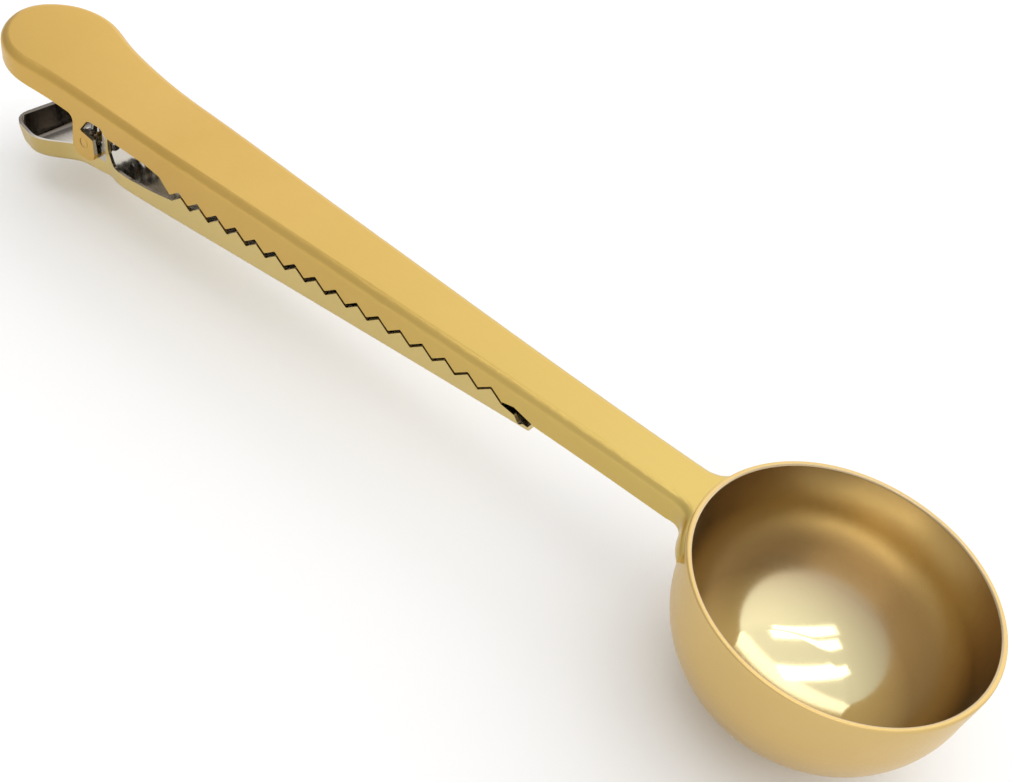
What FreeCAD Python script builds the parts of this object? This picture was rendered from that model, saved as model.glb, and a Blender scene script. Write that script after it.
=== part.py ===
import FreeCAD, Part
import math
import os

# Coffee scoop whose handle is also a spring bag clip, pressed from stainless sheet.
# Millimetres. The origin is the centre of the bowl's flat underside, +Z is up and the
# handle runs towards -X. The whole object is symmetric about the XZ plane, spring apart.

# ---- sheet and datum heights -------------------------------------------------
BOWL_SHEET = 0.8
HANDLE_SHEET = 0.6
JAW_SHEET = 0.5
RIM_Z = 22.2
HANDLE_TOP_Z = RIM_Z - 0.7
HANDLE_BEND = 1.3
JAW_BEND = 0.9

# ---- bowl --------------------------------------------------------------------
RIM_RADIUS = 18.75
WALL_FOOT_RADIUS = 18.4
FLAT_RADIUS = 3.0
DISH_RADIUS = 29.5
RING_RADIUS = 8.1
RING_SLOPE = math.radians(22.5)
RIM_ROUNDING = 0.25

# ---- handle, seen from above -------------------------------------------------
NECK_HALF_WIDTH = 3.8
HANDLE_STATIONS = (
    (-45.0, 4.14),
    (-70.0, 4.97),
    (-95.0, 5.87),
    (-113.0, 6.56),
    (-122.0, 6.82),
    (-130.0, 7.45),
    (-136.0, 8.35),
    (-141.0, 9.25),
    (-144.7, 8.4),
    (-147.3, 6.5),
    (-149.1, 3.8),
)
PADDLE_TIP_X = -150.0
PADDLE_BEND_X = -115.8
PADDLE_BEND_RADIUS = 187.0
SKIRT_DEPTH = 4.15
SKIRT_DEPTH_AT_TIP = 3.5

# ---- saddle that hugs the bowl -----------------------------------------------
SADDLE_RADIUS = RIM_RADIUS + HANDLE_SHEET
SADDLE_FLARE_RADIUS = 3.0
SADDLE_HALF_ANGLE = math.radians(34.0)
FLARE_CENTRE_Y = NECK_HALF_WIDTH + SADDLE_FLARE_RADIUS
NECK_X = -math.sqrt((SADDLE_RADIUS + SADDLE_FLARE_RADIUS) ** 2 - FLARE_CENTRE_Y ** 2)

# ---- the handle's side, from the saddle to the ears ------------------------------
SADDLE_LOW_Z = RIM_Z - 1.9
SADDLE_ROOT_X = -18.2
SADDLE_ROOT_Z = RIM_Z - 3.6
NECK_FLANGE_X = -21.2
NECK_FLANGE_Z = RIM_Z - 4.6
JAW_MOUTH_FLANGE_Z = RIM_Z - 4.75
EAR_FLANGE_Z = RIM_Z - 4.9
AFTER_TEETH_X = -110.7
AFTER_TEETH_Z = EAR_FLANGE_Z - 0.4
EAR_FLANGE_X = -114.0
ARCH_FOOT_X = -122.6
ARCH_START_X = -123.4
ARCH_END_X = -126.3
ARCH_TOP_Z = RIM_Z - 3.85
EAR_SHOULDER_X = -128.05
EAR_SHOULDER_Z = RIM_Z - 6.3
SKIRT_MIDDLE_X = -140.0
SKIRT_MIDDLE_RADIUS = 150.0

# ---- teeth -------------------------------------------------------------------
TOOTH_COUNT = 17
TOOTH_PITCH = 3.84
TOOTH_DEPTH = 1.4
FIRST_TOOTH_X = -108.5
FIRST_TOOTH_Z = RIM_Z - 7.2
TOOTH_LINE_SLOPE = 0.0467
TOOTH_ROUNDING = 0.22
GAP_AT_PIVOT_END = 0.85
GAP_AT_TIP_END = 0.4
LOWER_TOOTH_SHIFT = 0.4

# ---- pivot -------------------------------------------------------------------
PIVOT_X = -127.4
PIVOT_Z = RIM_Z - 8.35
PIN_RADIUS = 0.8
PIN_CLEARANCE = 0.06
EAR_HALF_WIDTH = 2.3
EAR_DROP = 2.75
LUG_RADIUS = 1.95

# ---- lower jaw and thumb lever -------------------------------------------------
JAW_TIP_X = -42.5
JAW_TIP_Z = RIM_Z - 6.55
JAW_HEEL_X = -119.0
JAW_HEEL_Z = RIM_Z - 12.52
LEVER_BEND_X = -126.0
LEVER_BEND_Z = RIM_Z - 13.25
LEVER_LOW_X = -141.4
LEVER_LOW_Z = RIM_Z - 15.75
LEVER_END_X = -145.5
LEVER_END_Z = RIM_Z - 12.6
LEVER_END_RISE = 3.3
LEVER_HOLLOW_RADIUS = 2.6
LEVER_CORNER_RADIUS = 3.4
LEVER_SIDE_SETBACK = 0.1
LUG_HALF_WIDTH = 6.1
HORN_HALF_WIDTH = 5.95
HORN_TOP_Z = RIM_Z - 2.5
WINDOW_FRONT_X = -112.5
WINDOW_FRONT_Z = RIM_Z - 8.9
WINDOW_MIDDLE_X = -117.5
WINDOW_MIDDLE_Z = RIM_Z - 9.55
WINDOW_BACK_X = -121.9
WINDOW_BACK_Z = RIM_Z - 9.9
HORN_FRONT_X = -123.3
HORN_FRONT_FOOT_Z = RIM_Z - 8.0
HORN_BACK_FOOT_Z = RIM_Z - 8.6
HORN_BACK_X = -124.25
HORN_FOOT_X = -124.6
JAW_WAIST_X = -121.0
JAW_WAIST_SETBACK = 0.35
LEVER_SHOULDER_X = -133.2
LEVER_CORNER_START_X = -139.0
LIP_TOP_Z = RIM_Z - 5.5
LIP_NOTCH_Z = RIM_Z - 6.1
LIP_BACK_Z = RIM_Z - 5.05
LEVER_RIM_X = -143.1
LEVER_RIM_Z = RIM_Z - 13.05
LUG_SEAT_Z = RIM_Z - 10.75
LUG_NECK_LOW_Z = RIM_Z - 12.0

# ---- torsion spring ------------------------------------------------------------
WIRE_RADIUS = 0.45
COIL_RADIUS = 2.38
COIL_WHOLE_TURNS = 6
COIL_HALF_LENGTH = 4.4
SPRING_LEG = 11.0
UPPER_LEG_ANGLE = math.radians(29.6)
LOWER_LEG_ANGLE = math.radians(17.0)

# ---- cutting shapes reach this far past the object ------------------------------
FAR = 60.0
HIGH_Z = RIM_Z + 8.0
LOW_Z = RIM_Z - 20.0
BEHIND_X = -155.0


def vector(x, y, z):
    return FreeCAD.Vector(x, y, z)


# ---------------------------------------------------------------- outline helpers
def rounded_corner(before, corner, after, radius):
    """Start, middle and end of the arc that rounds a corner, all in one plane."""
    to_before = (before - corner).normalize()
    to_after = (after - corner).normalize()
    half_angle = to_before.getAngle(to_after) / 2.0
    reach = radius / math.tan(half_angle)
    bisector = (to_before + to_after).normalize()
    centre = corner + bisector * (radius / math.sin(half_angle))
    return corner + to_before * reach, centre - bisector * radius, corner + to_after * reach


def rounded_face(corners):
    """Face bounded by straight lines, each corner (point, radius) rounded if radius > 0."""
    count = len(corners)
    edges = []
    stops = []
    for index, (corner, radius) in enumerate(corners):
        before = corners[index - 1][0]
        after = corners[(index + 1) % count][0]
        if radius > 0:
            start, middle, end = rounded_corner(before, corner, after, radius)
            stops.append((start, end))
            edges.append(Part.Arc(start, middle, end).toShape())
        else:
            stops.append((corner, corner))
    for index in range(count):
        start = stops[index - 1][1]
        end = stops[index][0]
        if (end - start).Length > 1e-6:
            edges.append(Part.LineSegment(start, end).toShape())
    wire = Part.Wire(Part.__sortEdges__(edges))
    return Part.Face(wire)


def side_slab(corners):
    """Prism across the whole width from (x, z, rounding) corners of a side view."""
    points = [(vector(x, -FAR, z), radius) for x, z, radius in corners]
    return rounded_face(points).extrude(vector(0, 2 * FAR, 0))


def mirrored(shape):
    """The same shape on the other side of the XZ plane."""
    return shape.mirror(vector(0, 0, 0), vector(0, 1, 0))


# ---------------------------------------------------------------- handle outline
def handle_edge_curve():
    """Half outline of the handle seen from above, from the neck to the paddle's tip."""
    points = [vector(NECK_X, NECK_HALF_WIDTH, 0)]
    points += [vector(x, y, 0) for x, y in HANDLE_STATIONS]
    points.append(vector(PADDLE_TIP_X, 0, 0))
    curve = Part.BSplineCurve()
    curve.interpolate(
        Points=points,
        InitialTangent=vector(-1, 0, 0),
        FinalTangent=vector(0, -1, 0),
    )
    return curve


def half_width(x, inset=0.0):
    """Outer half width of the handle at x, less an inset."""
    line = Part.Line(vector(x, 0, 0), vector(x, 1, 0))
    hits = handle_edge_curve().intersectCC(line)
    return max(hit.Y for hit in hits) - inset


def inset_curve(curve, inset):
    """A curve inside the given half outline by the sheet's thickness."""
    if inset == 0:
        return curve
    first, last = curve.FirstParameter, curve.LastParameter
    steps = 26
    points = []
    for step in range(steps + 1):
        parameter = first + (last - first) * step / steps
        tangent = curve.tangent(parameter)[0]
        inward = vector(-tangent.y, tangent.x, 0)
        points.append(curve.value(parameter) + inward * inset)
    points[-1].y = 0
    result = Part.BSplineCurve()
    result.interpolate(
        Points=points,
        InitialTangent=curve.tangent(first)[0],
        FinalTangent=curve.tangent(last)[0],
    )
    return result


def handle_plan_face():
    """Whole outline of the handle with its saddle, drawn at z = 0."""
    to_bowl = vector(-NECK_X, -FLARE_CENTRE_Y, 0).normalize()
    flare_centre = vector(NECK_X, FLARE_CENTRE_Y, 0)
    on_handle = vector(NECK_X, NECK_HALF_WIDTH, 0)
    on_saddle = flare_centre + to_bowl * SADDLE_FLARE_RADIUS
    middle_way = (to_bowl + vector(0, -1, 0)).normalize()
    flare = Part.Arc(on_handle, flare_centre + middle_way * SADDLE_FLARE_RADIUS, on_saddle)
    flare_angle = math.pi - math.atan2(on_saddle.y, -on_saddle.x)
    start_angle = math.pi - SADDLE_HALF_ANGLE
    middle_angle = (flare_angle + start_angle) / 2.0
    saddle_end = vector(math.cos(start_angle), math.sin(start_angle), 0) * SADDLE_RADIUS
    saddle_middle = vector(math.cos(middle_angle), math.sin(middle_angle), 0) * SADDLE_RADIUS
    saddle = Part.Arc(on_saddle, saddle_middle, saddle_end)
    inside_bowl = saddle_end * 0.6
    closing = Part.LineSegment(saddle_end, inside_bowl)
    curve = handle_edge_curve()
    edges = [curve.toShape(), flare.toShape(), saddle.toShape(), closing.toShape()]
    edges += [mirrored(edge) for edge in edges]
    edges.append(Part.LineSegment(inside_bowl, vector(inside_bowl.x, -inside_bowl.y, 0)).toShape())
    return Part.Face(Part.Wire(Part.__sortEdges__(edges)))


def handle_hollow_face():
    """Outline of the handle's hollow underside; it runs on into the bowl's space."""
    curve = inset_curve(handle_edge_curve(), HANDLE_SHEET)
    start = curve.value(curve.FirstParameter)
    inside_bowl = vector(-RIM_RADIUS * 0.7, start.y, 0)
    edges = [curve.toShape(), Part.LineSegment(start, inside_bowl).toShape()]
    edges += [mirrored(edge) for edge in edges]
    edges.append(Part.LineSegment(inside_bowl, vector(inside_bowl.x, -inside_bowl.y, 0)).toShape())
    return Part.Face(Part.Wire(Part.__sortEdges__(edges)))


def paddle_rise(x):
    """How far the handle's top has curved up at x."""
    along = min(0.0, x - PADDLE_BEND_X)
    return PADDLE_BEND_RADIUS - math.sqrt(PADDLE_BEND_RADIUS ** 2 - along ** 2)


def under_top_slab(depth):
    """Region below the handle's top, which curves up at the paddle, less a depth."""
    radius = PADDLE_BEND_RADIUS + depth
    centre = vector(PADDLE_BEND_X, -FAR, HANDLE_TOP_Z + PADDLE_BEND_RADIUS)
    sweep = 0.2
    start = centre - vector(0, 0, radius)
    middle = centre + vector(-math.sin(sweep / 2), 0, -math.cos(sweep / 2)) * radius
    end = centre + vector(-math.sin(sweep), 0, -math.cos(sweep)) * radius
    low_left = vector(end.x, -FAR, -FAR)
    low_right = vector(0, -FAR, -FAR)
    high_right = vector(0, -FAR, start.z)
    edges = [
        Part.Arc(start, middle, end).toShape(),
        Part.LineSegment(end, low_left).toShape(),
        Part.LineSegment(low_left, low_right).toShape(),
        Part.LineSegment(low_right, high_right).toShape(),
        Part.LineSegment(high_right, start).toShape(),
    ]
    return Part.Face(Part.Wire(edges)).extrude(vector(0, 2 * FAR, 0))


def rounded_top_block(face, depth, bend):
    """Block under the handle's top surface with its upper edges rounded."""
    block = plan_block(face, LOW_Z - depth, HIGH_Z).common(under_top_slab(depth))
    edges = []
    for edge in block.Edges:
        middle = edge.valueAt((edge.FirstParameter + edge.LastParameter) / 2)
        height = HANDLE_TOP_Z + paddle_rise(middle.x) - depth
        across_bend = edge.BoundBox.XLength < 1e-3 and abs(middle.x - PADDLE_BEND_X) < 1e-3
        if abs(middle.z - height) < 0.1 and not across_bend:
            edges.append(edge)
    return block.makeFillet(bend, edges)


def rim_edges(solid, height):
    """Closed edges of a body that lie in the horizontal plane at the given height."""
    found = []
    for edge in solid.Edges:
        box = edge.BoundBox
        level = abs(box.ZMin - height) < 1e-4 and abs(box.ZMax - height) < 1e-4
        if level and edge.Closed:
            found.append(edge)
    return found


def plan_block(face, low, high):
    """Prism of a plan outline between two heights."""
    base = face.copy()
    base.translate(vector(0, 0, low))
    return base.extrude(vector(0, 0, high - low))


# ---------------------------------------------------------------- teeth
def upper_tooth_height(x):
    """Height of the handle's tooth tips at x; the line climbs towards the bowl."""
    return FIRST_TOOTH_Z + TOOTH_LINE_SLOPE * (x - FIRST_TOOTH_X)


def upper_teeth():
    """Side-view corners of the handle's toothed edge, from the bowl end to the pivot."""
    corners = []
    for index in reversed(range(TOOTH_COUNT)):
        x = FIRST_TOOTH_X + index * TOOTH_PITCH
        corners.append((x, upper_tooth_height(x), TOOTH_ROUNDING))
        if index > 0:
            valley_x = x - TOOTH_PITCH / 2
            valley_z = upper_tooth_height(valley_x) + TOOTH_DEPTH
            corners.append((valley_x, valley_z, TOOTH_ROUNDING))
    return corners


def lower_teeth():
    """Side-view corners of the jaw's toothed edge, from its tip to the pivot."""
    corners = []
    for index in reversed(range(TOOTH_COUNT)):
        travel = index / (TOOTH_COUNT - 1)
        gap = GAP_AT_PIVOT_END + (GAP_AT_TIP_END - GAP_AT_PIVOT_END) * travel
        shift = LOWER_TOOTH_SHIFT * (1 - travel)
        x = FIRST_TOOTH_X + index * TOOTH_PITCH
        valley_z = upper_tooth_height(x) - gap
        corners.append((x + shift, valley_z, TOOTH_ROUNDING))
        if index > 0:
            tip_x = x - TOOTH_PITCH / 2
            tip_z = upper_tooth_height(tip_x) + TOOTH_DEPTH - gap
            corners.append((tip_x + shift, tip_z, TOOTH_ROUNDING))
    return corners


# ---------------------------------------------------------------- bowl
def bowl_profile(inset):
    """Points of the bowl's half profile, inside its skin by an inset.

    A shallow dish runs out to a ring, then a tighter shoulder turns up into the wall.
    """
    flat_sag = DISH_RADIUS - math.sqrt(DISH_RADIUS ** 2 - FLAT_RADIUS ** 2)
    dish_centre = DISH_RADIUS - flat_sag
    ring_height = dish_centre - math.sqrt(DISH_RADIUS ** 2 - RING_RADIUS ** 2)
    shoulder_radius = (WALL_FOOT_RADIUS - RING_RADIUS) / (1 - math.sin(RING_SLOPE))
    shoulder_x = WALL_FOOT_RADIUS - shoulder_radius
    shoulder_z = ring_height + shoulder_radius * math.cos(RING_SLOPE)
    dish = DISH_RADIUS - inset
    shoulder = shoulder_radius - inset
    start_x = 0.0 if inset > 0 else FLAT_RADIUS
    start = vector(start_x, 0, dish_centre - math.sqrt(dish ** 2 - start_x ** 2))
    apart = math.hypot(shoulder_x, shoulder_z - dish_centre)
    along = (dish ** 2 - shoulder ** 2 + apart ** 2) / (2 * apart)
    across = math.sqrt(dish ** 2 - along ** 2)
    way = vector(shoulder_x, 0, shoulder_z - dish_centre) / apart
    ring = vector(0, 0, dish_centre) + way * along + vector(-way.z, 0, way.x) * across
    half_x = (start.x + ring.x) / 2
    dish_middle = vector(half_x, 0, dish_centre - math.sqrt(dish ** 2 - half_x ** 2))
    ring_turn = math.atan2(ring.z - shoulder_z, ring.x - shoulder_x)
    middle_turn = ring_turn / 2
    shoulder_middle = vector(
        shoulder_x + shoulder * math.cos(middle_turn),
        0,
        shoulder_z + shoulder * math.sin(middle_turn),
    )
    foot = vector(WALL_FOOT_RADIUS - inset, 0, shoulder_z)
    rim = vector(RIM_RADIUS - inset, 0, RIM_Z)
    return start, dish_middle, ring, shoulder_middle, foot, rim


def bowl_solid(inset):
    """Body of revolution bounded by the bowl's skin, or by its inside."""
    start, dish_middle, ring, shoulder_middle, foot, rim = bowl_profile(inset)
    axis_low = vector(0, 0, start.z)
    axis_high = vector(0, 0, RIM_Z)
    edges = [
        Part.Arc(start, dish_middle, ring).toShape(),
        Part.Arc(ring, shoulder_middle, foot).toShape(),
        Part.LineSegment(foot, rim).toShape(),
        Part.LineSegment(rim, axis_high).toShape(),
        Part.LineSegment(axis_high, axis_low).toShape(),
    ]
    if start.x > 0:
        edges.append(Part.LineSegment(axis_low, start).toShape())
    face = Part.Face(Part.Wire(Part.__sortEdges__(edges)))
    return face.revolve(vector(0, 0, 0), vector(0, 0, 1), 360)


def build_bowl():
    """Deep-drawn cup with a flat base and a softly rounded rim."""
    cup = bowl_solid(0).cut(bowl_solid(BOWL_SHEET))
    return cup.makeFillet(RIM_ROUNDING, rim_edges(cup, RIM_Z))


# ---------------------------------------------------------------- handle
def handle_side_view():
    """Side-view region kept of the handle: saddle, teeth, ears and paddle skirt."""
    saddle_tip_x = -SADDLE_RADIUS * math.cos(SADDLE_HALF_ANGLE) - 0.2
    last_tooth_x = FIRST_TOOTH_X + (TOOTH_COUNT - 1) * TOOTH_PITCH
    last_tooth_z = upper_tooth_height(last_tooth_x) + 0.5
    ear_front_x = PIVOT_X + EAR_HALF_WIDTH
    ear_back_x = PIVOT_X - EAR_HALF_WIDTH
    ear_low_z = PIVOT_Z - EAR_DROP
    skirt_start_z = HANDLE_TOP_Z + 0.4 - SKIRT_DEPTH
    skirt_middle_z = HANDLE_TOP_Z + paddle_rise(SKIRT_MIDDLE_X) - SKIRT_DEPTH
    skirt_end_z = HANDLE_TOP_Z + paddle_rise(BEHIND_X) - SKIRT_DEPTH_AT_TIP
    inside_bowl_x = -5.0
    corners = [
        (inside_bowl_x, HIGH_Z, 0),
        (inside_bowl_x, SADDLE_LOW_Z, 0),
        (saddle_tip_x, SADDLE_LOW_Z, 0.5),
        (SADDLE_ROOT_X, SADDLE_ROOT_Z, 1.5),
        (NECK_FLANGE_X, NECK_FLANGE_Z, 1.5),
        (JAW_TIP_X + 1.0, JAW_MOUTH_FLANGE_Z, 0.6),
        (last_tooth_x + TOOTH_PITCH / 2, last_tooth_z, 0.3),
    ]
    corners += upper_teeth()
    corners += [
        (AFTER_TEETH_X, AFTER_TEETH_Z, 0.8),
        (EAR_FLANGE_X, EAR_FLANGE_Z, 3.0),
        (ARCH_FOOT_X, EAR_FLANGE_Z, 0.3),
        (ARCH_START_X, ARCH_TOP_Z, 1.1),
        (ARCH_END_X, ARCH_TOP_Z, 1.5),
        (EAR_SHOULDER_X, EAR_SHOULDER_Z, 0.2),
        (ear_front_x - 0.3, EAR_SHOULDER_Z - 0.65, 0.4),
        (ear_front_x, ear_low_z, 1.6),
        (ear_back_x - 0.2, ear_low_z, 1.8),
        (ear_back_x + 0.3, skirt_start_z, 1.2),
        (SKIRT_MIDDLE_X, skirt_middle_z, SKIRT_MIDDLE_RADIUS),
        (BEHIND_X, skirt_end_z, 0),
        (BEHIND_X, HIGH_Z, 0),
    ]
    return side_slab(corners)


def build_handle():
    """Upper channel: flat top, side flanges with teeth and ears, paddle and saddle."""
    outer = rounded_top_block(handle_plan_face(), 0.0, HANDLE_BEND)
    hollow = rounded_top_block(handle_hollow_face(), HANDLE_SHEET, HANDLE_BEND - HANDLE_SHEET)
    shell = outer.cut(hollow).common(handle_side_view())
    shell = shell.cut(bowl_solid(0))
    return shell.cut(pin_blank(PIN_RADIUS))


# ---------------------------------------------------------------- pivot pin
def pin_blank(radius):
    """Round bar across the whole clip on the pivot axis."""
    start = vector(PIVOT_X, -FAR, PIVOT_Z)
    return Part.makeCylinder(radius, 2 * FAR, start, vector(0, 1, 0))


def build_pivot_pin():
    """Pin pressed into both ears and finished flush with them."""
    flush = plan_block(handle_plan_face(), 0, RIM_Z)
    return pin_blank(PIN_RADIUS).common(flush)


# ---------------------------------------------------------------- lower jaw
def jaw_edge_curve(inset):
    """Half outline of the jaw seen from above, from its tip to the lever's shoulder."""
    flush = (-60.0, -80.0, -100.0, -111.0, -117.5)
    lever_inset = inset + LEVER_SIDE_SETBACK
    points = [vector(JAW_TIP_X - inset, half_width(JAW_TIP_X, inset), 0)]
    points += [vector(x, half_width(x, inset), 0) for x in flush]
    points += [
        vector(JAW_WAIST_X, half_width(JAW_WAIST_X, inset + JAW_WAIST_SETBACK), 0),
        vector(HORN_FRONT_X + 0.3, HORN_HALF_WIDTH - inset, 0),
        vector(PIVOT_X + 2.4, LUG_HALF_WIDTH - 0.1 - inset, 0),
        vector(PIVOT_X, LUG_HALF_WIDTH - inset, 0),
        vector(PIVOT_X - 2.2, LUG_HALF_WIDTH + 0.05 - inset, 0),
        vector(LEVER_SHOULDER_X, half_width(LEVER_SHOULDER_X, lever_inset), 0),
        vector(LEVER_CORNER_START_X, half_width(LEVER_CORNER_START_X, lever_inset), 0),
    ]
    curve = Part.BSplineCurve()
    curve.interpolate(Points=points)
    return curve


def jaw_plan_face(inset):
    """Whole outline of the jaw with its lever, drawn at z = 0."""
    curve = jaw_edge_curve(inset)
    tip = curve.value(curve.FirstParameter)
    shoulder = curve.value(curve.LastParameter)
    heading = curve.tangent(curve.LastParameter)[0]
    end_x = LEVER_END_X + inset
    corner = shoulder + heading * ((end_x - shoulder.x) / heading.x)
    radius = LEVER_CORNER_RADIUS - inset
    start, middle, end = rounded_corner(shoulder, corner, vector(end_x, 0, 0), radius)
    edges = [
        curve.toShape(),
        Part.LineSegment(shoulder, start).toShape(),
        Part.Arc(start, middle, end).toShape(),
    ]
    edges += [mirrored(edge) for edge in edges]
    edges.append(Part.LineSegment(end, vector(end.x, -end.y, 0)).toShape())
    edges.append(Part.LineSegment(tip, vector(tip.x, -tip.y, 0)).toShape())
    return Part.Face(Part.Wire(Part.__sortEdges__(edges)))


def jaw_floor_slab(inset):
    """Side-view region above the jaw's floor; the floor rises by the inset."""
    floor_slope = (JAW_TIP_Z - JAW_HEEL_Z) / (JAW_TIP_X - JAW_HEEL_X)
    beyond = 5.0
    return side_slab([
        (JAW_TIP_X + beyond, JAW_TIP_Z + inset + beyond * floor_slope, 0),
        (JAW_HEEL_X, JAW_HEEL_Z + inset, 12.0),
        (LEVER_BEND_X, LEVER_BEND_Z + inset, 8.0),
        (LEVER_LOW_X, LEVER_LOW_Z + inset, LEVER_HOLLOW_RADIUS - inset),
        (LEVER_END_X - beyond, LEVER_END_Z + LEVER_END_RISE + inset, 0),
        (LEVER_END_X - beyond, RIM_Z + beyond, 0),
        (JAW_TIP_X + beyond, RIM_Z + beyond, 0),
    ])


def jaw_block(inset, bend):
    """Solid bounded by the jaw's outline and floor, with the floor's edge rounded."""
    block = plan_block(jaw_plan_face(inset), LOW_Z, RIM_Z).common(jaw_floor_slab(inset))
    floor_edges = []
    for edge in block.Edges:
        middle = edge.valueAt((edge.FirstParameter + edge.LastParameter) / 2)
        box = edge.BoundBox
        vertical = box.XLength < 1e-3 and box.YLength < 1e-3
        if middle.z < RIM_Z - 0.1 and not vertical and abs(middle.y) > 0.5:
            floor_edges.append(edge)
    return block.makeFillet(bend, floor_edges)


def jaw_side_view():
    """Side-view region kept of the jaw: lip, teeth, horns, lugs and lever rim."""
    past_tip_x = JAW_TIP_X + 3.0
    past_end_x = LEVER_END_X - 5.0
    corners = [
        (past_tip_x, LOW_Z, 0),
        (past_tip_x, LIP_TOP_Z, 0),
        (JAW_TIP_X - 0.8, LIP_TOP_Z, 0.3),
        (JAW_TIP_X - 1.4, LIP_NOTCH_Z, 0.3),
        (JAW_TIP_X - 2.3, LIP_BACK_Z, 0.3),
    ]
    corners += lower_teeth()
    corners += [
        (WINDOW_FRONT_X, WINDOW_FRONT_Z, 3.0),
        (WINDOW_MIDDLE_X, WINDOW_MIDDLE_Z, 2.0),
        (WINDOW_BACK_X, WINDOW_BACK_Z, 1.4),
        (HORN_FRONT_X, HORN_FRONT_FOOT_Z, 1.5),
        (HORN_FRONT_X, HORN_TOP_Z, 0.3),
        (HORN_BACK_X, HORN_TOP_Z, 0.3),
        (HORN_FOOT_X, HORN_BACK_FOOT_Z, 1.5),
        (PIVOT_X + 1.4, LUG_SEAT_Z, 0.4),
        (PIVOT_X, LUG_SEAT_Z, 0),
        (PIVOT_X - 2.9, LUG_SEAT_Z + 0.2, 0.3),
        (LEVER_RIM_X, LEVER_RIM_Z, 2.0),
        (past_end_x, LEVER_END_Z, 0),
        (past_end_x, LOW_Z, 0),
    ]
    lug_eye = Part.makeCylinder(LUG_RADIUS, 2 * FAR, vector(PIVOT_X, -FAR, PIVOT_Z), vector(0, 1, 0))
    lug_neck = side_slab([
        (PIVOT_X - LUG_RADIUS, PIVOT_Z, 0),
        (PIVOT_X + LUG_RADIUS, PIVOT_Z, 0),
        (PIVOT_X + LUG_RADIUS, LUG_NECK_LOW_Z, 0),
        (PIVOT_X - LUG_RADIUS, LUG_NECK_LOW_Z, 0),
    ])
    return side_slab(corners).fuse([lug_eye, lug_neck])


def build_lower_jaw():
    """Lower channel: toothed walls, pivot lugs and the thumb lever's tray."""
    shell = jaw_block(0, JAW_BEND).cut(jaw_block(JAW_SHEET, JAW_BEND - JAW_SHEET))
    return shell.common(jaw_side_view()).cut(pin_blank(PIN_RADIUS + PIN_CLEARANCE))


# ---------------------------------------------------------------- torsion spring
def build_torsion_spring():
    """Wire coil round the pin; one leg bears on the handle, the other on the lever."""
    start_turn = UPPER_LEG_ANGLE - math.pi / 2
    end_turn = math.pi / 2 - LOWER_LEG_ANGLE
    turns = COIL_WHOLE_TURNS + (end_turn - start_turn) / (2 * math.pi)
    length = 2 * COIL_HALF_LENGTH
    helix = Part.makeLongHelix(length / turns, length, COIL_RADIUS)
    helix.rotate(vector(0, 0, 0), vector(0, 0, 1), math.degrees(start_turn))
    helix.rotate(vector(0, 0, 0), vector(1, 0, 0), -90)
    helix.translate(vector(PIVOT_X, -COIL_HALF_LENGTH, PIVOT_Z))
    edges = helix.Edges
    first, last = edges[0], edges[-1]
    start = first.valueAt(first.FirstParameter)
    start_way = first.tangentAt(first.FirstParameter)
    end = last.valueAt(last.LastParameter)
    end_way = last.tangentAt(last.LastParameter)
    upper_leg_end = start - start_way * SPRING_LEG
    upper_leg = Part.LineSegment(upper_leg_end, start).toShape()
    lower_leg = Part.LineSegment(end, end + end_way * SPRING_LEG).toShape()
    path = Part.Wire([upper_leg] + edges + [lower_leg])
    section = Part.Wire([Part.Circle(upper_leg_end, start_way, WIRE_RADIUS).toShape()])
    return path.makePipeShell([section], True, True)


def main():
    """Write one STEP file for each sub-part."""
    os.makedirs("parts", exist_ok=True)
    parts = {
        "bowl": build_bowl(),
        "handle": build_handle(),
        "lower_jaw": build_lower_jaw(),
        "pivot_pin": build_pivot_pin(),
        "torsion_spring": build_torsion_spring(),
    }
    for name, shape in parts.items():
        print(name, shape.ShapeType, shape.isValid(), len(shape.Solids), round(shape.Volume, 1))
        shape.exportStep("parts/" + name + ".step")


main()
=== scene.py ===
import math

import bmesh
import bpy
from mathutils import Matrix, Vector


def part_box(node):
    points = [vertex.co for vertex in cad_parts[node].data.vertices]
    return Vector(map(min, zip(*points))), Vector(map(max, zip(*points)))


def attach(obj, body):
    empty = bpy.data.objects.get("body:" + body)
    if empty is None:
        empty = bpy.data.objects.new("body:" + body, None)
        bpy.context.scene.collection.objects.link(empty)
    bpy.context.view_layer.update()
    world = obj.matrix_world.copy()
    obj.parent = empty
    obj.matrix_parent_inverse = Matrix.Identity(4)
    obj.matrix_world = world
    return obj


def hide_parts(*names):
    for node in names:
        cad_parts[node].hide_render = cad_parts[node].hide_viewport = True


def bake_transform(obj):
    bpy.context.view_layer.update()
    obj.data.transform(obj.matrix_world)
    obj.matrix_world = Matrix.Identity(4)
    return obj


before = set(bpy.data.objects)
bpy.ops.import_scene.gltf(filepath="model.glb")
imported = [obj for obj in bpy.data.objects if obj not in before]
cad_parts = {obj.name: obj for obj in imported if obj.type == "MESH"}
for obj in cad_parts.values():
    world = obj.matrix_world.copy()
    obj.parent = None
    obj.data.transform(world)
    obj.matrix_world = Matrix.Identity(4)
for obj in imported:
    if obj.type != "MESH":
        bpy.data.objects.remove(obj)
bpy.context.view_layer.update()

# Looks of a gold-coated steel coffee scoop whose handle is a toothed bag clip.
# Metres, in the CAD frame: +Z up, origin under the bowl, handle towards -X.
MM = 0.001

# ---- places read from the frame, in millimetres ----------------------------------
RIM_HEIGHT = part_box("bowl")[1].z / MM
PIVOT = (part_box("pivot_pin")[0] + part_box("pivot_pin")[1]) / (2 * MM)

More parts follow.
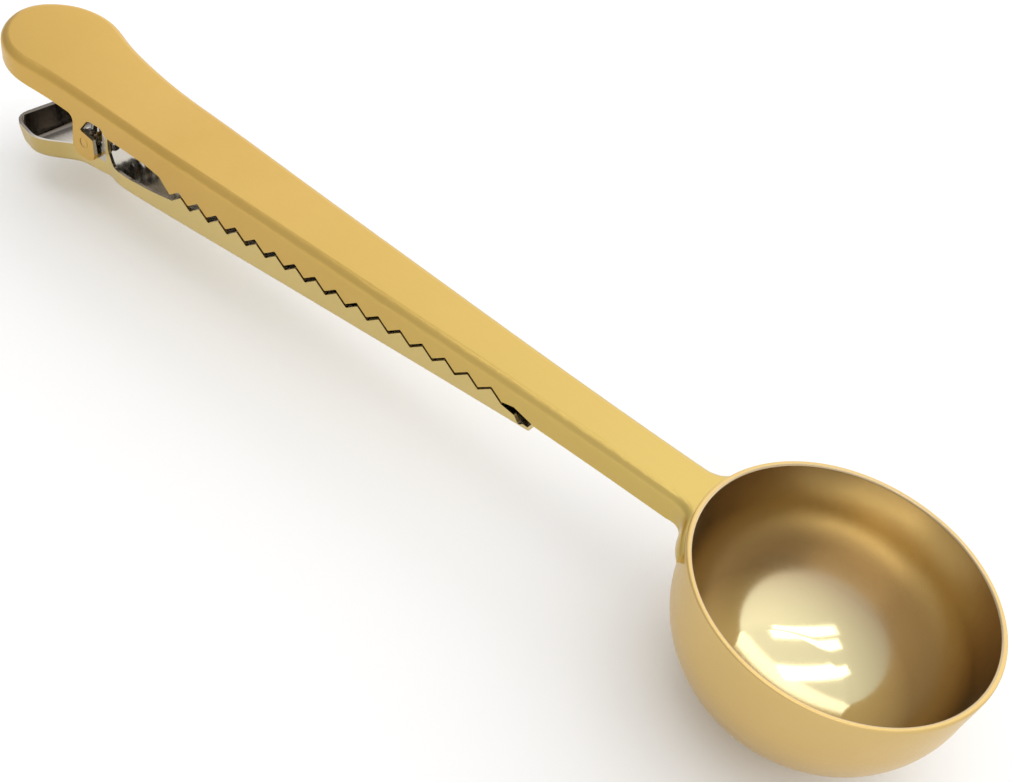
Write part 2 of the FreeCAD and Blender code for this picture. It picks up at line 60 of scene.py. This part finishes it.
# ---- camera ------------------------------------------------------------------
CAMERA_PLACE = Vector((8.23, -100.82, RIM_HEIGHT + 102.04)) * MM
CAMERA_AZIMUTH = math.radians(29.65)
CAMERA_ELEVATION = math.radians(43.14)
CAMERA_ROLL = math.radians(14.09)
CAMERA_LENS = 42.955
SENSOR_WIDTH = 36.0
CLIP_NEAR = 0.005
CLIP_FAR = 20.0

# ---- bowl, as in the CAD -------------------------------------------------------
BOWL_SHEET = 0.8
RIM_RADIUS = 18.75
WALL_FOOT_RADIUS = 18.4
FLAT_RADIUS = 3.0
DISH_RADIUS = 29.5
RING_RADIUS = 8.1
RING_SLOPE = math.radians(22.5)
RIM_ROUNDING = 0.3
DISH_STEPS = 26
SHOULDER_STEPS = 30
RIM_STEPS = 5
BOWL_SEGMENTS = 192

# ---- pin and spring, as in the CAD ------------------------------------------------
PIN_RADIUS = 0.8
PIN_DOME = 0.1
PIN_SEGMENTS = 40
WIRE_RADIUS = 0.45
WIRE_SIDES = 14
COIL_RADIUS = 2.38
COIL_WHOLE_TURNS = 6
COIL_STEPS_PER_TURN = 30
COIL_HALF_LENGTH = 4.4
SPRING_LEG = 11.0
UPPER_LEG_ANGLE = math.radians(29.6)
LOWER_LEG_ANGLE = math.radians(17.0)

# ---- where the channels are bare steel inside, and the jaw's lugs outside -----------
PADDLE_START = -138.0
JAW_TIP = -46.0
UPPER_MIDDLE = RIM_HEIGHT - 3.4
LOWER_MIDDLE = RIM_HEIGHT - 7.4
LOWER_MIDDLE_SLOPE = 0.05
LOWER_MIDDLE_X = -100.0
LUGS_START = -129.6
LUGS_END = -123.8
LUGS_LOW = RIM_HEIGHT - 10.4
LUGS_CUTS = [
    ((LUGS_START, 0.0, 0.0), (1.0, 0.0, 0.0)),
    ((LUGS_END, 0.0, 0.0), (1.0, 0.0, 0.0)),
    ((0.0, 0.0, LUGS_LOW), (0.0, 0.0, 1.0)),
]

# ---- edges sharper than this many degrees stay sharp --------------------------------
BOWL_SHARP = 40
SHEET_SHARP = 28
ROUND_SHARP = 50

# ---- tolerances for joining and cutting the sheets, in millimetres ------------------
WELD_DISTANCE = 0.002
CUT_DISTANCE = 0.0005

# ---- metal grain: noise scale along the three axes, and bump height in metres --------
DRAWN_GRAIN = (900.0, 5000.0, 5000.0)
MILL_GRAIN = (700.0, 4000.0, 4000.0)
SPUN_GRAIN = (2500.0, 2500.0, 2500.0)
WIRE_GRAIN = (3000.0, 3000.0, 3000.0)
GRAIN_HEIGHT = 0.00002
CLOUD_SCALE = 60.0
SATIN_ROUGHNESS = (0.30, 0.38)

# ---- stage and light: metres, and brightness as of a white wall -----------------------
FLOOR_HALF = 3000.0
SCREEN_PLACE = (-0.6, 0.9, 0.75)
SCREEN_TARGET = (-0.6, 0.0, 0.75)
SCREEN_SIZE = (3.2, 1.45)
SCREEN_BRIGHTNESS = 0.63
STRIP_PLACES = [(0.09, -0.12), (-0.01, 0.02), (-0.21, 0.26)]
STRIP_HEIGHT = 0.8
STRIP_SIZE = (0.70, 0.12)
STRIP_BRIGHTNESS = 1.7
STRIP_TURN = CAMERA_AZIMUTH + math.radians(20)
SKY_DIM = 0.62
SKY_BRIGHT = 1.15


# ---------------------------------------------------------------- mesh helpers
def new_piece(name, vertices, faces):
    """Object named name from vertices in millimetres and index faces."""
    mesh = bpy.data.meshes.new(name)
    mesh.from_pydata([Vector(v) * MM for v in vertices], [], faces)
    mesh.validate()
    mesh.update()
    piece = bpy.data.objects.new(name, mesh)
    bpy.context.scene.collection.objects.link(piece)
    return piece


def smooth_by_angle(mesh, degrees):
    """Smooth shading that stays sharp at edges turning by more than the angle."""
    mesh.polygons.foreach_set("use_smooth", [True] * len(mesh.polygons))
    work = bmesh.new()
    work.from_mesh(mesh)
    bmesh.ops.recalc_face_normals(work, faces=work.faces)
    limit = math.radians(degrees)
    for edge in work.edges:
        edge.smooth = len(edge.link_faces) == 2 and edge.calc_face_angle() < limit
    work.to_mesh(mesh)
    work.free()


def weighted_normals(piece):
    """Keeps flat faces flat-shaded beside small rounded ones."""
    modifier = piece.modifiers.new("flat_faces", "WEIGHTED_NORMAL")
    modifier.keep_sharp = True
    modifier.mode = "FACE_AREA"


def lathe(name, profile, segments):
    """Body of revolution about Z from (radius, height) points; radius 0 closes it."""
    vertices = []
    rings = []
    for radius, height in profile:
        if radius < 1e-6:
            rings.append([len(vertices)])
            vertices.append((0.0, 0.0, height))
            continue
        rings.append(list(range(len(vertices), len(vertices) + segments)))
        for step in range(segments):
            turn = 2 * math.pi * step / segments
            vertices.append((radius * math.cos(turn), radius * math.sin(turn), height))
    faces = []
    for ring, following in zip(rings, rings[1:]):
        for step in range(segments):
            after = (step + 1) % segments
            if len(ring) == 1:
                faces.append((ring[0], following[step], following[after]))
            elif len(following) == 1:
                faces.append((ring[step], following[0], ring[after]))
            else:
                faces.append((ring[step], following[step], following[after], ring[after]))
    return new_piece(name, vertices, faces)


def arc_points(centre, radius, start, end, steps):
    """Points (radius, height) on an arc between two angles in degrees."""
    points = []
    for step in range(steps + 1):
        angle = math.radians(start + (end - start) * step / steps)
        points.append((centre[0] + radius * math.cos(angle), centre[1] + radius * math.sin(angle)))
    return points


def tube(name, path, radius, sides):
    """Round wire along a path, with flat ends."""
    vertices = []
    faces = []
    side = Vector((0, 1, 0))
    for index, point in enumerate(path):
        before = path[max(index - 1, 0)]
        after = path[min(index + 1, len(path) - 1)]
        along = (after - before).normalized()
        side = (side - along * side.dot(along)).normalized()
        other = along.cross(side)
        for step in range(sides):
            turn = 2 * math.pi * step / sides
            vertices.append(point + (side * math.cos(turn) + other * math.sin(turn)) * radius)
    for ring in range(len(path) - 1):
        for step in range(sides):
            after = (step + 1) % sides
            low = ring * sides
            high = low + sides
            faces.append((low + step, low + after, high + after, high + step))
    faces.append(tuple(range(sides)))
    last = (len(path) - 1) * sides
    faces.append(tuple(range(last + sides - 1, last - 1, -1)))
    return new_piece(name, vertices, faces)


# ---------------------------------------------------------------- node helpers
class Nodes:
    """Short way to build a node tree."""

    def __init__(self, material):
        self.material = material
        material.use_nodes = True
        self.tree = material.node_tree
        self.shader = self.tree.nodes["Principled BSDF"]

    def add(self, kind, **settings):
        node = self.tree.nodes.new(kind)
        for name, value in settings.items():
            setattr(node, name, value)
        return node

    def link(self, source, target):
        self.tree.links.new(source, target)

    def position(self, scale=(1.0, 1.0, 1.0)):
        """Position on the object, stretched by a scale."""
        place = self.add("ShaderNodeTexCoord")
        mapping = self.add("ShaderNodeMapping")
        mapping.inputs["Scale"].default_value = scale
        self.link(place.outputs["Object"], mapping.inputs["Vector"])
        return mapping.outputs["Vector"]

    def noise(self, vector, scale, detail=3.0):
        texture = self.add("ShaderNodeTexNoise")
        texture.inputs["Scale"].default_value = scale
        texture.inputs["Detail"].default_value = detail
        self.link(vector, texture.inputs["Vector"])
        return texture.outputs["Fac"]

    def remap(self, value, low, high, start=0.3, end=0.7):
        """Stretches a value from start..end to low..high."""
        node = self.add("ShaderNodeMapRange")
        node.inputs["From Min"].default_value = start
        node.inputs["From Max"].default_value = end
        node.inputs["To Min"].default_value = low
        node.inputs["To Max"].default_value = high
        self.link(value, node.inputs["Value"])
        return node.outputs["Result"]

    def colours(self, value, first, second):
        """Blend of two colours by a value."""
        node = self.add("ShaderNodeMix", data_type="RGBA")
        node.inputs["A"].default_value = (*first, 1.0)
        node.inputs["B"].default_value = (*second, 1.0)
        self.link(value, node.inputs["Factor"])
        return node.outputs["Result"]

    def tint_along(self, start, end, colour):
        """Turns the tint into another colour between two places along the clip, in metres."""
        place = self.add("ShaderNodeSeparateXYZ")
        self.link(self.position(), place.inputs["Vector"])
        blend = self.add("ShaderNodeMix", data_type="RGBA")
        self.link(self.remap(place.outputs["X"], 0.0, 1.0, start, end), blend.inputs["Factor"])
        self.link(self.tint, blend.inputs["A"])
        blend.inputs["B"].default_value = (*colour, 1.0)
        self.link(blend.outputs["Result"], self.shader.inputs["Base Color"])

    def bump(self, height, strength, distance):
        node = self.add("ShaderNodeBump")
        node.inputs["Strength"].default_value = strength
        node.inputs["Distance"].default_value = distance
        self.link(height, node.inputs["Height"])
        self.link(node.outputs["Normal"], self.shader.inputs["Normal"])


def metal(name, first, second, roughness, grain, grain_depth):
    """Metal with cloudy colour, uneven gloss and fine drawn grain along its length."""
    nodes = Nodes(bpy.data.materials.new(name))
    nodes.shader.inputs["Metallic"].default_value = 1.0
    cloud = nodes.noise(nodes.position(), CLOUD_SCALE)
    nodes.tint = nodes.colours(nodes.remap(cloud, 0.0, 1.0), first, second)
    nodes.link(nodes.tint, nodes.shader.inputs["Base Color"])
    streak = nodes.noise(nodes.position(grain), 1.0, 5.0)
    nodes.gloss = nodes.remap(streak, *roughness)
    nodes.link(nodes.gloss, nodes.shader.inputs["Roughness"])
    nodes.bump(streak, grain_depth, GRAIN_HEIGHT)
    return nodes


# ---------------------------------------------------------------- materials
def gold_satin():
    """Fine satin gold coating of the handle, a little yellower and lighter towards the bowl as a
    painted sheen.
    """
    nodes = metal("gold_satin", (0.575, 0.365, 0.094), (0.605, 0.385, 0.104),
                  SATIN_ROUGHNESS, DRAWN_GRAIN, 0.10)
    # Painted sheen: the colour turns lighter and yellower towards the bowl.
    nodes.tint_along(-0.11, -0.02, (0.580, 0.425, 0.130))
    return nodes.material


def jaw_gold():
    """The same coating, thinner and paler on the jaw, a little darker on the lever as painted
    shade.
    """
    nodes = metal("jaw_gold", (0.60, 0.46, 0.18), (0.63, 0.485, 0.195),
                  SATIN_ROUGHNESS, DRAWN_GRAIN, 0.10)
    # Painted shade: the colour turns darker on the lever past the pivot.
    nodes.tint_along(-0.129, -0.133, (0.50, 0.375, 0.145))
    return nodes.material


def bowl_outside():
    """Satin outside of the drawn bowl."""
    return metal("bowl_outside", (0.62, 0.44, 0.17), (0.66, 0.47, 0.19),
                 (0.28, 0.36), SPUN_GRAIN, 0.04).material


def bowl_inside():
    """Inside of the bowl: polished at the bottom, satin up the wall; its colour is lighter at the
    bottom as a painted reflection and darker up the wall as painted shade.
    """
    # The wall colour here is darker than the outside, as painted shade.
    nodes = metal("bowl_inside", (0.50, 0.385, 0.225), (0.54, 0.415, 0.245),
                  (0.0, 0.04), SPUN_GRAIN, 0.02)
    place = nodes.add("ShaderNodeSeparateXYZ")
    nodes.link(nodes.position(), place.inputs["Vector"])
    height = place.outputs["Z"]
    # Painted reflection: the bottom's colour is made much lighter than the wall's.
    painted_reflection_mix = nodes.add("ShaderNodeMix", data_type="RGBA")
    nodes.link(nodes.remap(height, 0.0, 1.0, 0.0022, 0.0065), painted_reflection_mix.inputs["Factor"])
    painted_reflection_mix.inputs["A"].default_value = (0.92, 0.80, 0.46, 1.0)
    nodes.link(nodes.tint, painted_reflection_mix.inputs["B"])
    nodes.link(painted_reflection_mix.outputs["Result"], nodes.shader.inputs["Base Color"])
    total = nodes.add("ShaderNodeMath", operation="ADD")
    nodes.link(nodes.remap(height, 0.07, 0.22, 0.0025, 0.0085), total.inputs[0])
    nodes.link(nodes.gloss, total.inputs[1])
    nodes.link(total.outputs[0], nodes.shader.inputs["Roughness"])
    return nodes.material


def bare_steel():
    """Uncoated mill finish inside the channels, with painted shade darkening the corner of the
    lever's tray.
    """
    nodes = metal("bare_steel", (0.42, 0.39, 0.34), (0.52, 0.48, 0.42),
                  (0.10, 0.18), MILL_GRAIN, 0.05)
    # Painted shade: the colour turns dark towards the end of the lever's tray.
    nodes.tint_along(-0.136, -0.140, (0.15, 0.13, 0.11))
    return nodes.material


def spring_steel():
    """Dark drawn wire."""
    return metal("spring_steel", (0.28, 0.27, 0.26), (0.38, 0.37, 0.35),
                 (0.20, 0.32), WIRE_GRAIN, 0.15).material


def floor_white():
    """Plain pale floor."""
    material = bpy.data.materials.new("floor_white")
    nodes = Nodes(material)
    cloud = nodes.noise(nodes.position(), 3.0)
    tint = nodes.colours(cloud, (0.90, 0.90, 0.90), (0.92, 0.92, 0.92))
    nodes.link(tint, nodes.shader.inputs["Base Color"])
    nodes.shader.inputs["Roughness"].default_value = 0.9
    return material


# ---------------------------------------------------------------- pieces
def bowl_skin(inset):
    """Points (radius, height) of the bowl's skin from the axis to the wall's foot."""
    flat_sag = DISH_RADIUS - math.sqrt(DISH_RADIUS ** 2 - FLAT_RADIUS ** 2)
    dish_centre = DISH_RADIUS - flat_sag
    ring_height = dish_centre - math.sqrt(DISH_RADIUS ** 2 - RING_RADIUS ** 2)
    shoulder_radius = (WALL_FOOT_RADIUS - RING_RADIUS) / (1 - math.sin(RING_SLOPE))
    shoulder_x = WALL_FOOT_RADIUS - shoulder_radius
    shoulder_z = ring_height + shoulder_radius * math.cos(RING_SLOPE)
    dish = DISH_RADIUS - inset
    shoulder = shoulder_radius - inset
    apart = math.hypot(shoulder_x, shoulder_z - dish_centre)
    along = (dish ** 2 - shoulder ** 2 + apart ** 2) / (2 * apart)
    across = math.sqrt(dish ** 2 - along ** 2)
    way = Vector((shoulder_x, shoulder_z - dish_centre)) / apart
    ring = Vector((0.0, dish_centre)) + way * along + Vector((-way.y, way.x)) * across
    points = [(0.0, dish_centre - dish)] if inset > 0 else [(0.0, 0.0)]
    first_turn = 0.0 if inset > 0 else math.asin(FLAT_RADIUS / dish)
    last_turn = math.asin(ring.x / dish)
    for step in range(0 if inset == 0 else 1, DISH_STEPS + 1):
        turn = first_turn + (last_turn - first_turn) * step / DISH_STEPS
        points.append((dish * math.sin(turn), dish_centre - dish * math.cos(turn)))
    ring_turn = math.degrees(math.atan2(ring.y - shoulder_z, ring.x - shoulder_x))
    points += arc_points((shoulder_x, shoulder_z), shoulder, ring_turn, 0,
                         SHOULDER_STEPS)[1:]
    return points


def make_bowl(outer, inner):
    """Drawn cup: dished bottom, wide rounded shoulder, upright wall, soft rim."""
    outside = bowl_skin(0.0)
    rim_height = RIM_HEIGHT - RIM_ROUNDING
    outside.append((RIM_RADIUS, rim_height))
    outside += arc_points((RIM_RADIUS - RIM_ROUNDING, rim_height), RIM_ROUNDING,
                          15, 90, RIM_STEPS)
    inner_rim = RIM_RADIUS - BOWL_SHEET
    inside = arc_points((inner_rim + RIM_ROUNDING, rim_height), RIM_ROUNDING,
                        90, 165, RIM_STEPS)
    inside.append((inner_rim, rim_height))
    inside += reversed(bowl_skin(BOWL_SHEET))
    bowl = lathe("bowl_shell", outside + inside, BOWL_SEGMENTS)
    smooth_by_angle(bowl.data, BOWL_SHARP)
    bowl.data.materials.append(outer)
    bowl.data.materials.append(inner)
    mouth = Vector((0.0, 0.0, RIM_HEIGHT)) * MM
    for face in bowl.data.polygons:
        face.material_index = 1 if face.normal.dot(mouth - face.center) > 0 else 0
    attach(bowl, "scoop")
    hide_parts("bowl")


def carried_sheet(name, node, body, outer, inner, is_bare, cuts=()):
    """Sheet piece on the CAD node's own shape; is_bare picks its uncoated faces.

    Each cut is a plane (place, normal) that gives the bare patch a straight edge.
    """
    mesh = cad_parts[node].data.copy()
    mesh.name = name
    work = bmesh.new()
    work.from_mesh(mesh)
    bmesh.ops.remove_doubles(work, verts=work.verts, dist=WELD_DISTANCE * MM)
    for place, normal in cuts:
        everything = [*work.verts, *work.edges, *work.faces]
        bmesh.ops.bisect_plane(work, geom=everything, dist=CUT_DISTANCE * MM,
                               plane_co=Vector(place) * MM, plane_no=Vector(normal))
    bmesh.ops.recalc_face_normals(work, faces=work.faces)
    work.to_mesh(mesh)
    work.free()
    smooth_by_angle(mesh, SHEET_SHARP)
    mesh.materials.clear()
    mesh.materials.append(outer)
    mesh.materials.append(inner)
    for face in mesh.polygons:
        face.material_index = 1 if is_bare(face.center / MM, face.normal) else 0
    piece = bpy.data.objects.new(name, mesh)
    bpy.context.scene.collection.objects.link(piece)
    weighted_normals(piece)
    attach(piece, body)
    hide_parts(node)


def handle_is_bare(point, normal):
    """True on the faces of the upper channel that look towards its own middle."""
    middle = Vector((max(point.x, PADDLE_START), 0.0, UPPER_MIDDLE))
    return normal.dot(middle - point) > 0


def jaw_is_bare(point, normal):
    """True inside the lower channel, and on the lugs and horns between the ears."""
    x = min(max(point.x, PADDLE_START), JAW_TIP)
    middle = Vector((x, 0.0, LOWER_MIDDLE + LOWER_MIDDLE_SLOPE * (x - LOWER_MIDDLE_X)))
    between_ears = LUGS_START < point.x < LUGS_END and point.z > LUGS_LOW
    return between_ears or normal.dot(middle - point) > 0


def make_pin(material):
    """Pressed pin whose ends are slightly domed."""
    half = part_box("pivot_pin")[1].y / MM
    flat = PIN_RADIUS * 0.35
    shaft_end = half - PIN_DOME
    profile = [(0.0, -half), (flat, -half + 0.01), (PIN_RADIUS * 0.8, -half + 0.04)]
    profile += [(PIN_RADIUS, -shaft_end), (PIN_RADIUS, shaft_end)]
    profile += [(PIN_RADIUS * 0.8, half - 0.04), (flat, half - 0.01), (0.0, half)]
    pin = lathe("pin_shaft", profile, PIN_SEGMENTS)
    turn = Matrix.Rotation(math.radians(90), 4, "X")
    pin.data.transform(Matrix.Translation(PIVOT * MM) @ turn)
    smooth_by_angle(pin.data, ROUND_SHARP)
    pin.data.materials.append(material)
    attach(pin, "scoop")
    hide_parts("pivot_pin")


def make_spring(material):
    """Coil round the pin with one straight leg at each end."""
    start_turn = UPPER_LEG_ANGLE - math.pi / 2
    end_turn = math.pi / 2 - LOWER_LEG_ANGLE
    sweep = 2 * math.pi * COIL_WHOLE_TURNS + end_turn - start_turn
    steps = COIL_STEPS_PER_TURN * COIL_WHOLE_TURNS
    coil = []
    for step in range(steps + 1):
        turn = start_turn + sweep * step / steps
        across = -COIL_HALF_LENGTH + 2 * COIL_HALF_LENGTH * step / steps
        around = Vector((math.cos(turn), 0.0, -math.sin(turn))) * COIL_RADIUS
        coil.append(PIVOT + around + Vector((0.0, across, 0.0)))
    start_way = Vector((math.sin(start_turn), 0.0, math.cos(start_turn)))
    end_way = Vector((-math.sin(end_turn), 0.0, -math.cos(end_turn)))
    upper = [coil[0] + start_way * SPRING_LEG * part for part in (1.0, 0.66, 0.33)]
    lower = [coil[-1] + end_way * SPRING_LEG * part for part in (0.33, 0.66, 1.0)]
    spring = tube("spring_wire", upper + coil + lower, WIRE_RADIUS, WIRE_SIDES)
    smooth_by_angle(spring.data, ROUND_SHARP)
    spring.data.materials.append(material)
    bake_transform(spring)
    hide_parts("torsion_spring")


# ---------------------------------------------------------------- stage
def make_floor():
    """Wide pale floor under the bowl."""
    half = FLOOR_HALF
    corners = [(-half, -half, 0), (half, -half, 0), (half, half, 0), (-half, half, 0)]
    floor = new_piece("floor", corners, [(0, 1, 2, 3)])
    floor.data.materials.append(floor_white())


def area_light(name, place, target, size, brightness):
    """Soft rectangular light at place, in metres, turned to a target.

    The brightness is that of a white wall in the same place that looks plain white.
    """
    data = bpy.data.lights.new(name, "AREA")
    data.shape = "RECTANGLE"
    data.size, data.size_y = size
    data.energy = brightness * math.pi * size[0] * size[1]
    light = bpy.data.objects.new(name, data)
    light.location = place
    towards = Vector(target) - Vector(place)
    light.rotation_euler = towards.to_track_quat("-Z", "Y").to_euler()
    light.visible_camera = False
    bpy.context.scene.collection.objects.link(light)
    return light


def make_world():
    """Pale surroundings, dimmer towards the paddle's side."""
    world = bpy.data.worlds.new("studio")
    world.use_nodes = True
    tree = world.node_tree
    background = tree.nodes["Background"]
    background.inputs["Color"].default_value = (1.0, 1.0, 1.0, 1.0)
    direction = tree.nodes.new("ShaderNodeTexCoord")
    split = tree.nodes.new("ShaderNodeSeparateXYZ")
    strength = tree.nodes.new("ShaderNodeMapRange")
    strength.inputs["From Min"].default_value = -1.0
    strength.inputs["From Max"].default_value = 1.0
    strength.inputs["To Min"].default_value = SKY_DIM
    strength.inputs["To Max"].default_value = SKY_BRIGHT
    tree.links.new(direction.outputs["Generated"], split.inputs["Vector"])
    tree.links.new(split.outputs["X"], strength.inputs["Value"])
    tree.links.new(strength.outputs["Result"], background.inputs["Strength"])
    bpy.context.scene.world = world


def make_lights():
    """Plain soft studio light: a tall pale screen behind and three strips overhead."""
    make_world()
    area_light("screen", SCREEN_PLACE, SCREEN_TARGET, SCREEN_SIZE, SCREEN_BRIGHTNESS)
    for index, (x, y) in enumerate(STRIP_PLACES):
        strip = area_light("strip_%d" % index, (x, y, STRIP_HEIGHT), (x, y, 0.0),
                           STRIP_SIZE, STRIP_BRIGHTNESS)
        strip.rotation_euler = (0.0, 0.0, STRIP_TURN)


def make_camera():
    """Camera above the near side of the bowl, looking along the clip."""
    azimuth, elevation = CAMERA_AZIMUTH, CAMERA_ELEVATION
    forward = Vector((
        -math.sin(azimuth) * math.cos(elevation),
        math.cos(azimuth) * math.cos(elevation),
        -math.sin(elevation),
    ))
    level_right = Vector((math.cos(azimuth), math.sin(azimuth), 0.0))
    level_up = level_right.cross(forward)
    right = level_right * math.cos(CAMERA_ROLL) + level_up * math.sin(CAMERA_ROLL)
    up = right.cross(forward)
    data = bpy.data.cameras.new("camera")
    data.lens = CAMERA_LENS
    data.sensor_width = SENSOR_WIDTH
    data.clip_start = CLIP_NEAR
    data.clip_end = CLIP_FAR
    camera = bpy.data.objects.new("camera", data)
    turn = Matrix((right, up, -forward)).transposed().to_4x4()
    camera.matrix_world = Matrix.Translation(CAMERA_PLACE) @ turn
    bpy.context.scene.collection.objects.link(camera)
    bpy.context.scene.camera = camera


def main():
    """Builds every piece, the stage, the light and the camera."""
    gold = gold_satin()
    steel = bare_steel()
    make_bowl(bowl_outside(), bowl_inside())
    carried_sheet("handle_sheet", "handle", "scoop", gold, steel, handle_is_bare)
    carried_sheet("jaw_sheet", "lower_jaw", "jaw", jaw_gold(), steel, jaw_is_bare, LUGS_CUTS)
    make_pin(gold)
    make_spring(spring_steel())
    make_floor()
    make_lights()
    make_camera()
    bpy.context.scene.view_settings.view_transform = "Standard"


main()
bpy.context.view_layer.update()
